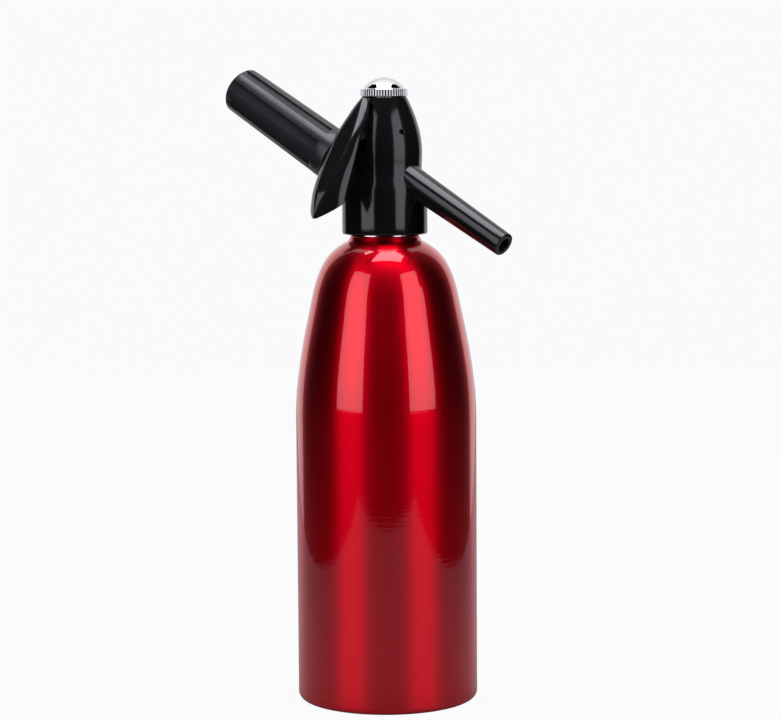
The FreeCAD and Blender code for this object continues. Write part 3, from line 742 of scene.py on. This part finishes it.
def holder_outline():
    s0, s1 = HOLDER_ROOT, HOLDER_TIP
    pts = rounded((HOLDER_R0, s0), (SOCKET_R, s0), (HOLDER_R0, s0 + 9), 0.5, 3)
    pts += [(HOLDER_R0 - taper * s, s0 + s) for s in range(6, 70, 7)]
    pts += rounded((HOLDER_R1, s1), (HOLDER_R1, s0), (0, s1), 2.6, 8)
    pts += [(5.0, s1), (0.0, s1)]
    inner = [(0.0, s1 - 2.6), (5.0, s1 - 3.9), (HOLDER_BORE, s1 - 9.0), (HOLDER_BORE, 46.0)]
    inner += [(SOCKET_R, 45.0), (SOCKET_R, s0 + 0.3)]
    return list(reversed(pts)) + list(reversed(inner))


holder = piece("charger_holder_sleeve", turn(holder_outline(), 128), soft_black)
run_tree(holder, groove_tree(), {
    "Count": GROOVES, "Radius": (HOLDER_R0 - 0.1) * MM, "Width": GROOVE_W * MM, "Depth": GROOVE_D * MM,
    "Start": (HOLDER_ROOT + COLLAR) * MM, "End": (HOLDER_TIP + 3) * MM, "Lean": math.atan(taper),
    "Phase": GROOVE_PHASE, "Finish": soft_black})
ease_edges(holder, 0.2, angle_deg=36.0, segments=2, sharp_deg=45.0)
bm = bmesh.new()
bm.from_mesh(holder.data)
aim(bm, -1, HOLDER_TILT, HOLDER_Z)
bm.to_mesh(holder.data)
bm.free()
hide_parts("charger_holder")
print("holder:", len(holder.data.polygons), "faces with", GROOVES, "grooves")

# %% [markdown]
# ## The chromed cap and its knurl
#
# The cap screws on to the crown. Its ring is knurled with fifty upright ribs, so that wet fingers can turn
# it, and a low dome closes it. The dome is turned from an outline. The ribs are instances of one small
# round bar on a circle, made by Geometry Nodes with the count and sizes as inputs.

# %% The cap's outline and the knurl's tree
CAP_R, CAP_RING, DOME_R, CAP_TOP, RIBS, RIB_R = 11.5, 3.6, 10.2, 310.5, 50, 0.42
SPIGOT_R, SPIGOT_LEN, CAP_ROOF_Z = 7.0, 8.0, CROWN_Z + 2.5
CORE_R = CAP_R - 1.85 * RIB_R


def cap_outline():
    z0, z1 = CROWN_Z, CROWN_Z + CAP_RING
    pts = [(SPIGOT_R, z0 - SPIGOT_LEN), (SPIGOT_R, z0), (CORE_R, z0 + 0.02)]
    pts += [(CORE_R, z1 - 0.3), (CORE_R - 0.25, z1), (DOME_R + 0.1, z1)]
    pts += curve((DOME_R, z1 + 0.05), (DOME_R - 1.9, z1 + 2.75), (5.0, CAP_TOP), (0.0, CAP_TOP), 20)
    return pts + [(0.0, CAP_TOP), (0.0, CAP_ROOF_Z), (GUIDE_R, CAP_ROOF_Z), (GUIDE_R, z0 - SPIGOT_LEN)]


def knurl_tree():
    tree, given, result = geometry_tree("knurl_ribs", {
        "Count": ("Int", 50), "Radius": ("Float", 0.011), "Rib Radius": ("Float", 0.0005),
        "Height": ("Float", 0.004), "Base": ("Float", 0.3), "Finish": ("Material", None)})
    value = given.outputs
    circle = add(tree, "GeometryNodeMeshCircle", {"fill_type": "NONE"}, Vertices=value["Count"],
                 Radius=value["Radius"])
    bar = add(tree, "GeometryNodeMeshCylinder", Vertices=10, Radius=value["Rib Radius"],
              Depth=value["Height"])
    half = add(tree, "ShaderNodeMath", {"operation": "MULTIPLY_ADD"}, i0=value["Height"], i1=0.5,
               i2=value["Base"])
    lift = add(tree, "ShaderNodeCombineXYZ", Z=half.outputs[0])
    ring = add(tree, "GeometryNodeInstanceOnPoints", Points=circle.outputs[0], Instance=bar.outputs["Mesh"])
    up = add(tree, "GeometryNodeTransform", Geometry=ring.outputs[0], Translation=lift.outputs[0])
    real = add(tree, "GeometryNodeRealizeInstances", Geometry=up.outputs[0])
    finish = add(tree, "GeometryNodeSetMaterial", Geometry=real.outputs[0], Material=value["Finish"])
    tree.links.new(finish.outputs[0], result.inputs[0])
    return tree


print("knurl tree ready")

# %% [markdown]
# ## Dome and ribs on one ring
#
# The faces of the ring's core, at the bottom of the knurl's gaps, get a dark, dull plate as a second material
# on the same mesh: this is painted shade in the gaps between the ribs.

# %% The cap
cap = piece("cap_dome", turn(cap_outline(), 128), chrome)
cap.data.materials.append(painted_gap_shade)
# The core faces between the ribs take the second material: painted shade in the knurl's gaps.
for face in cap.data.polygons:
    out, height = math.hypot(face.center.x, face.center.y) / MM, face.center.z / MM
    if abs(out - CORE_R) < 0.06 and CROWN_Z < height < CROWN_Z + CAP_RING - 0.2:
        face.material_index = 1
ribs = piece("cap_knurl", bmesh.new(), chrome)
run_tree(ribs, knurl_tree(), {
    "Count": RIBS, "Radius": (CAP_R - RIB_R) * MM, "Rib Radius": RIB_R * MM, "Height": (CAP_RING - 0.2) * MM,
    "Base": (CROWN_Z + 0.02) * MM, "Finish": chrome})
ribs.data.shade_smooth()
ribs.data.set_sharp_from_angle(angle=math.radians(60))
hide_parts("top_cap")
print("cap:", len(cap.data.polygons), "faces; ribs:", RIBS)

# %% [markdown]
# ## The pieces inside
#
# Seals, valve, pin, charger and tubes keep their CAD meshes, because their shape is already right.
# Each gets the finish of its real material.

# %% Finish the remaining nodes
INSIDE = {
    "neck_insert": nickel, "riser_tube": natural_plastic, "measuring_tube": natural_plastic,
    "neck_gasket": pale_rubber, "riser_seal": dark_rubber, "valve_seat": brass, "seat_washer": dark_rubber,
    "washer_screw": steel,
    "valve_rod": nickel, "rod_ring": dark_rubber, "valve_spring": steel, "pivot_pin": steel,
    "nozzle_seal": dark_rubber, "charger_nipple": nickel, "piercing_pin": steel, "pin_gasket": dark_rubber,
    "inlet_filter": brass, "charger": steel,
}
for name, material in INSIDE.items():
    nodes[name].data.materials.clear()
    nodes[name].data.materials.append(material)
print("finished", len(INSIDE), "inner nodes")

# %% [markdown]
# ## Which body carries what
#
# Each new piece rides on the CAD body that it belongs to, so it follows the joints: the head
# unscrews from the bottle, the lever swings in the head, and the holder unscrews from its boss.

# %% Ride on the bodies
RIDES = {
    "bottle": [bottle],
    "head": [head, boss, nozzle, cap, ribs],
    "lever": [lever, arm],
    "holder": [holder],
}
for body, carried in RIDES.items():
    for thing in carried:
        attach(thing, body)
print({body: [t.name for t in carried] for body, carried in RIDES.items()})

# %% [markdown]
# ## The studio
#
# Gloss shows its surroundings more than its own colour, so the studio matters as much as the finish.
# The bottle stands on a white table that ends 59 cm in front of it. Two upright soft boxes stand left and
# right of the camera and one hangs overhead. The room in front is dark, and behind the table all is
# white, which gives the pale rims along both sides. Places are given as an angle from the camera,
# because a reflection depends on that angle and not on which way the bottle's handle faces.

# %% Directions as the camera sees them
VIEW_AZ = 39.0
toward = Vector((math.sin(math.radians(VIEW_AZ)), -math.cos(math.radians(VIEW_AZ)), 0))
side = Vector((-toward.y, toward.x, 0))


def compass(angle_deg, distance, height):
    """Point at an angle round Z from the camera's direction, positive to its right."""
    spin = Matrix.Rotation(math.radians(angle_deg), 3, "Z")
    spot = spin @ toward * distance
    return Vector((spot.x, spot.y, height))


print("towards the camera:", tuple(round(v, 3) for v in toward))

# %% [markdown]
# ## The white background
#
# The world is the backdrop. Its strength is 1, which is plain white, for rays from the camera or through
# something clear, and lower for those that light the bottle, so that the soft boxes do the modelling.
# Mirrored rays get a third of the step between the two.

# %% World: white where it is seen
UNSEEN, SEEN, MIRRORED = 0.70, 1.0, 0.3
world = bpy.data.worlds.new("white_studio")
bpy.context.scene.world = world
world.use_nodes = True
wt = world.node_tree
wt.nodes.clear()
rays = add(wt, "ShaderNodeLightPath")
mirrored = add(wt, "ShaderNodeMath", {"operation": "MULTIPLY"}, i0=rays.outputs["Is Glossy Ray"], i1=MIRRORED)
seen = add(wt, "ShaderNodeMath", {"operation": "MAXIMUM"}, i0=rays.outputs["Is Camera Ray"],
           i1=rays.outputs["Is Transmission Ray"])
either = add(wt, "ShaderNodeMath", {"operation": "MAXIMUM"}, i0=seen.outputs[0], i1=mirrored.outputs[0])
level = add(wt, "ShaderNodeMapRange", Value=either.outputs[0], To_Min=UNSEEN, To_Max=SEEN)
sky = add(wt, "ShaderNodeBackground", Color=swatch("FAFAFB"), Strength=level.outputs[0])
add(wt, "ShaderNodeOutputWorld", Surface=sky.outputs[0])
print("world ready")

# %% [markdown]
# ## The white table
#
# The camera sees a table that melts into the white, but the bottle must see a real one, lit by the lamps
# and a little darker, because its reflection is the haze on the lower part. So the material mixes
# a glow, for camera rays only, with a matte laminate. The few per cent of matte that the camera still
# sees keep the shadow under the foot, and the glow makes up for them so that table and backdrop match.

# %% The table
TABLE_GLOW, CAMERA_SHARE = 1.060, 0.93
TABLE_FRONT, TABLE_BACK, TABLE_SIDE = 0.59, 1.5, 0.42


def table_material():
    material, tree, out = new_material("white_table_laminate")
    path = add(tree, "ShaderNodeLightPath")
    glow = add(tree, "ShaderNodeEmission", Color=swatch("FAFAFB"), Strength=TABLE_GLOW)
    matte = add(tree, "ShaderNodeBsdfDiffuse", Color=swatch("A6A2A4"))
    share = add(tree, "ShaderNodeMath", {"operation": "MULTIPLY"}, i0=path.outputs["Is Camera Ray"],
                i1=CAMERA_SHARE)
    both = add(tree, "ShaderNodeMixShader", i0=share.outputs[0], i1=matte.outputs[0], i2=glow.outputs[0])
    tree.links.new(both.outputs[0], out.inputs[0])
    return material


def flat_sheet(name, corners, material):
    bm = bmesh.new()
    bm.faces.new([bm.verts.new(c) for c in corners])
    return piece(name, bm, material)


front, back, half = toward * TABLE_FRONT, -toward * TABLE_BACK, side * TABLE_SIDE
table = flat_sheet("table", [front - half, front + half, back + half, back - half], table_material())
print("table ready")

# %% [markdown]
# ## The dark room in front
#
# Between the soft boxes the bottle mirrors a dark room, which gives the deep bands of its red. It is a
# black screen bent round the front, with a floor and a ceiling, and open behind the table. The camera
# looks through it.

# %% The dark screen
ROOM_R, ROOM_TOP, ROOM_FLOOR, ROOM_HALF = 1.9, 2.2, -0.9, 133.0


def dark_material():
    material, tree, out = new_material("dark_room_cloth")
    cloth = add(tree, "ShaderNodeBsdfDiffuse", Color=swatch("101010"))
    tree.links.new(cloth.outputs[0], out.inputs[0])
    return material


def dark_room(steps=48):
    bm = bmesh.new()
    angles = [-ROOM_HALF + 2 * ROOM_HALF * i / steps for i in range(steps + 1)]
    low = [bm.verts.new(compass(a, ROOM_R, ROOM_FLOOR)) for a in angles]
    high = [bm.verts.new(compass(a, ROOM_R, ROOM_TOP)) for a in angles]
    for i in range(steps):
        bm.faces.new((low[i], low[i + 1], high[i + 1], high[i]))
    bm.faces.new(high)
    bm.faces.new(list(reversed(low)))
    return bm


room = piece("dark_room", dark_room(), dark_material())
room.visible_camera = False
print("dark room ready")

# %% [markdown]
# ## The soft boxes
#
# Each upright box shows twice on the bottle: sharp and pale in the lacquer, down to where its foot ends, and
# as a broad red band in the metal below. The overhead box makes the bright patch on the shoulder, and a white
# card behind it lights the top of the cap. Brightness is given as seen in a mirror, and the lamp's
# power follows from its size.

# %% The lamps
LAMP_TINT = (1.0, 0.965, 1.05)
BOX_ANGLE, BOX_AT, BOX_W, BOX_H, BOX_FOOT, BOX_BRIGHT = 47.0, 1.2, 0.76, 1.20, 0.10, 1.95
OVER_AT, OVER_Z, OVER_W, OVER_D, OVER_BRIGHT = 0.065, 1.55, 1.05, 0.81, 5.4


def soft_box(name, spot, target, width, height, radiance):
    """Area lamp of a given brightness as seen in a mirror."""
    lamp = bpy.data.lights.new(name, "AREA")
    lamp.shape, lamp.size, lamp.size_y = "RECTANGLE", width, height
    lamp.color = LAMP_TINT
    lamp.energy = radiance * math.pi * width * height
    made = bpy.data.objects.new(name, lamp)
    made.location = spot
    made.rotation_mode = "QUATERNION"
    made.rotation_quaternion = (spot - target).to_track_quat("Z", "Y")
    made.visible_camera = False
    bpy.context.scene.collection.objects.link(made)
    return made


for label, angle in (("left_soft_box", -BOX_ANGLE), ("right_soft_box", BOX_ANGLE)):
    spot = compass(angle, BOX_AT, BOX_FOOT + BOX_H / 2)
    soft_box(label, spot, Vector((0, 0, spot.z)), BOX_W, BOX_H, BOX_BRIGHT)
soft_box("overhead_soft_box", compass(0, OVER_AT, OVER_Z), Vector((0, 0, 0.2)), OVER_W, OVER_D, OVER_BRIGHT)
card_glow, card_tree, card_out = new_material("white_ceiling_card")
white = add(card_tree, "ShaderNodeEmission", Color=swatch("FAFAFB"))
card_tree.links.new(white.outputs[0], card_out.inputs[0])
CARD_CORNERS = ((-0.36, -0.6), (-0.36, 0.6), (-1.0, 0.9), (-1.0, -0.9))  # towards the camera, to its right
card = flat_sheet("ceiling_card", [compass(0, d, OVER_Z) + side * w for d, w in CARD_CORNERS], card_glow)
card.visible_camera = False
print("three soft boxes and a card")

# %% [markdown]
# ## The camera
#
# A long lens 1.3 m away and level with the cap, tilted 6 degrees down. The axis of the bottle
# falls just left of the picture's middle and leans by 0.4 degrees, as the camera was not quite level.

# %% Place the camera
PICTURE_W, FOCAL_PX = 781, 2621.0
CAMERA_AT, CAMERA_Z, PAN, TILT, ROLL = 1.3, 0.307, math.radians(0.103), math.radians(6.0), math.radians(-0.39)
lens = bpy.data.cameras.new("view_lens")
lens.sensor_width, lens.sensor_fit = 36.0, "HORIZONTAL"
lens.lens = FOCAL_PX / PICTURE_W * lens.sensor_width
lens.clip_start, lens.clip_end = 0.05, 50.0
camera = bpy.data.objects.new("camera", lens)
camera.rotation_mode = "QUATERNION"
camera.location = toward * CAMERA_AT + Vector((0, 0, CAMERA_Z))
ahead = Matrix.Rotation(-PAN, 3, "Z") @ (-toward)
ahead = Vector((ahead.x * math.cos(TILT), ahead.y * math.cos(TILT), -math.sin(TILT)))
level_view = ahead.to_track_quat("-Z", "Y")
camera.rotation_quaternion = level_view @ Matrix.Rotation(ROLL, 3, "Z").to_quaternion()
bpy.context.scene.collection.objects.link(camera)
bpy.context.scene.camera = camera
print("lens", round(lens.lens, 1), "mm")

# %% [markdown]
# ## Picture settings
#
# The Standard view shows a colour as its swatch says.

bpy.context.scene.view_settings.view_transform = "Standard"
